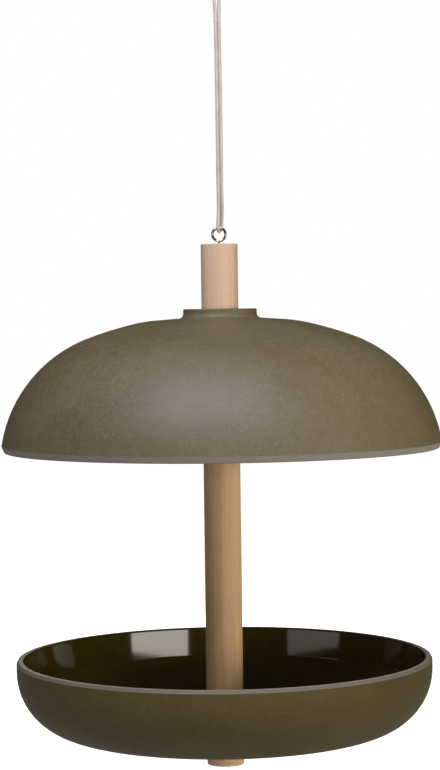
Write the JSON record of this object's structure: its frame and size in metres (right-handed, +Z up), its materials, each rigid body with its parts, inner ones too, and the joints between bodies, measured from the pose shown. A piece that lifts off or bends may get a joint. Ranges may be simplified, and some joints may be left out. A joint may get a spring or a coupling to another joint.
{
  "type": "hanging seed feeder",
  "caption": "Hanging seed feeder: a moulded dome roof and a seed dish on a wooden post, hung from a screw eye by a doubled cord.",
  "frame": {"origin": "inside the top of the cord's loop, where a hook carries the feeder", "axes": "+Z up along the post's axis, +X to the right and +Y away from the viewer in the front view"},
  "size_m": [0.2416, 0.2416, 0.4561],
  "materials": {
    "moulded_shell": "matte olive-brown moulded composite with fine pale fibres",
    "beech": "sanded bare beech",
    "eye_metal": "bright nickel plate",
    "screw_steel": "zinc-plated steel",
    "seal_rubber": "black rubber",
    "cord_cotton": "natural waxed cotton cord"
  },
  "bodies": {
    "cord": {"hanging_cord": "cord_cotton", "cord_knot": "cord_cotton"},
    "hanger": {"upper_post": "beech", "screw_eye": "eye_metal", "roof_dowel_screw": "screw_steel"},
    "roof": {"roof_dome": "moulded_shell", "roof_seal": "seal_rubber"},
    "post": {"lower_post": "beech", "dish_dowel_screw": "screw_steel"},
    "dish": {"seed_dish": "moulded_shell", "dish_seal": "seal_rubber"},
    "foot": {"foot_knob": "beech"}
  },
  "joints": [
    {"name": "feeder_swing", "type": "hinge", "parent": "cord", "child": "hanger", "pos_m": [0, 0, -0.1448], "axis": [0, 1, 0], "range_deg": [-40, 40]},
    {"name": "roof_drop", "type": "slide", "parent": "hanger", "child": "roof", "axis": [0, 0, -1], "range_m": [0, 0.02]},
    {"name": "post_turn", "type": "hinge", "parent": "roof", "child": "post", "pos_m": [0, 0, -0.2], "axis": [0, 0, -1], "range_deg": [0, 2880]},
    {"name": "dish_drop", "type": "slide", "parent": "post", "child": "dish", "axis": [0, 0, -1], "range_m": [0, 0.01]},
    {"name": "foot_turn", "type": "hinge", "parent": "dish", "child": "foot", "pos_m": [0, 0, -0.42], "axis": [0, 0, -1], "range_deg": [0, 1440]}
  ],
  "couplings": [
    {"joint": "roof_drop", "follows": "post_turn", "m_per_rad": 0.00039789},
    {"joint": "foot_turn", "follows": "dish_drop", "rad_per_m": 2513.3}
  ]
}
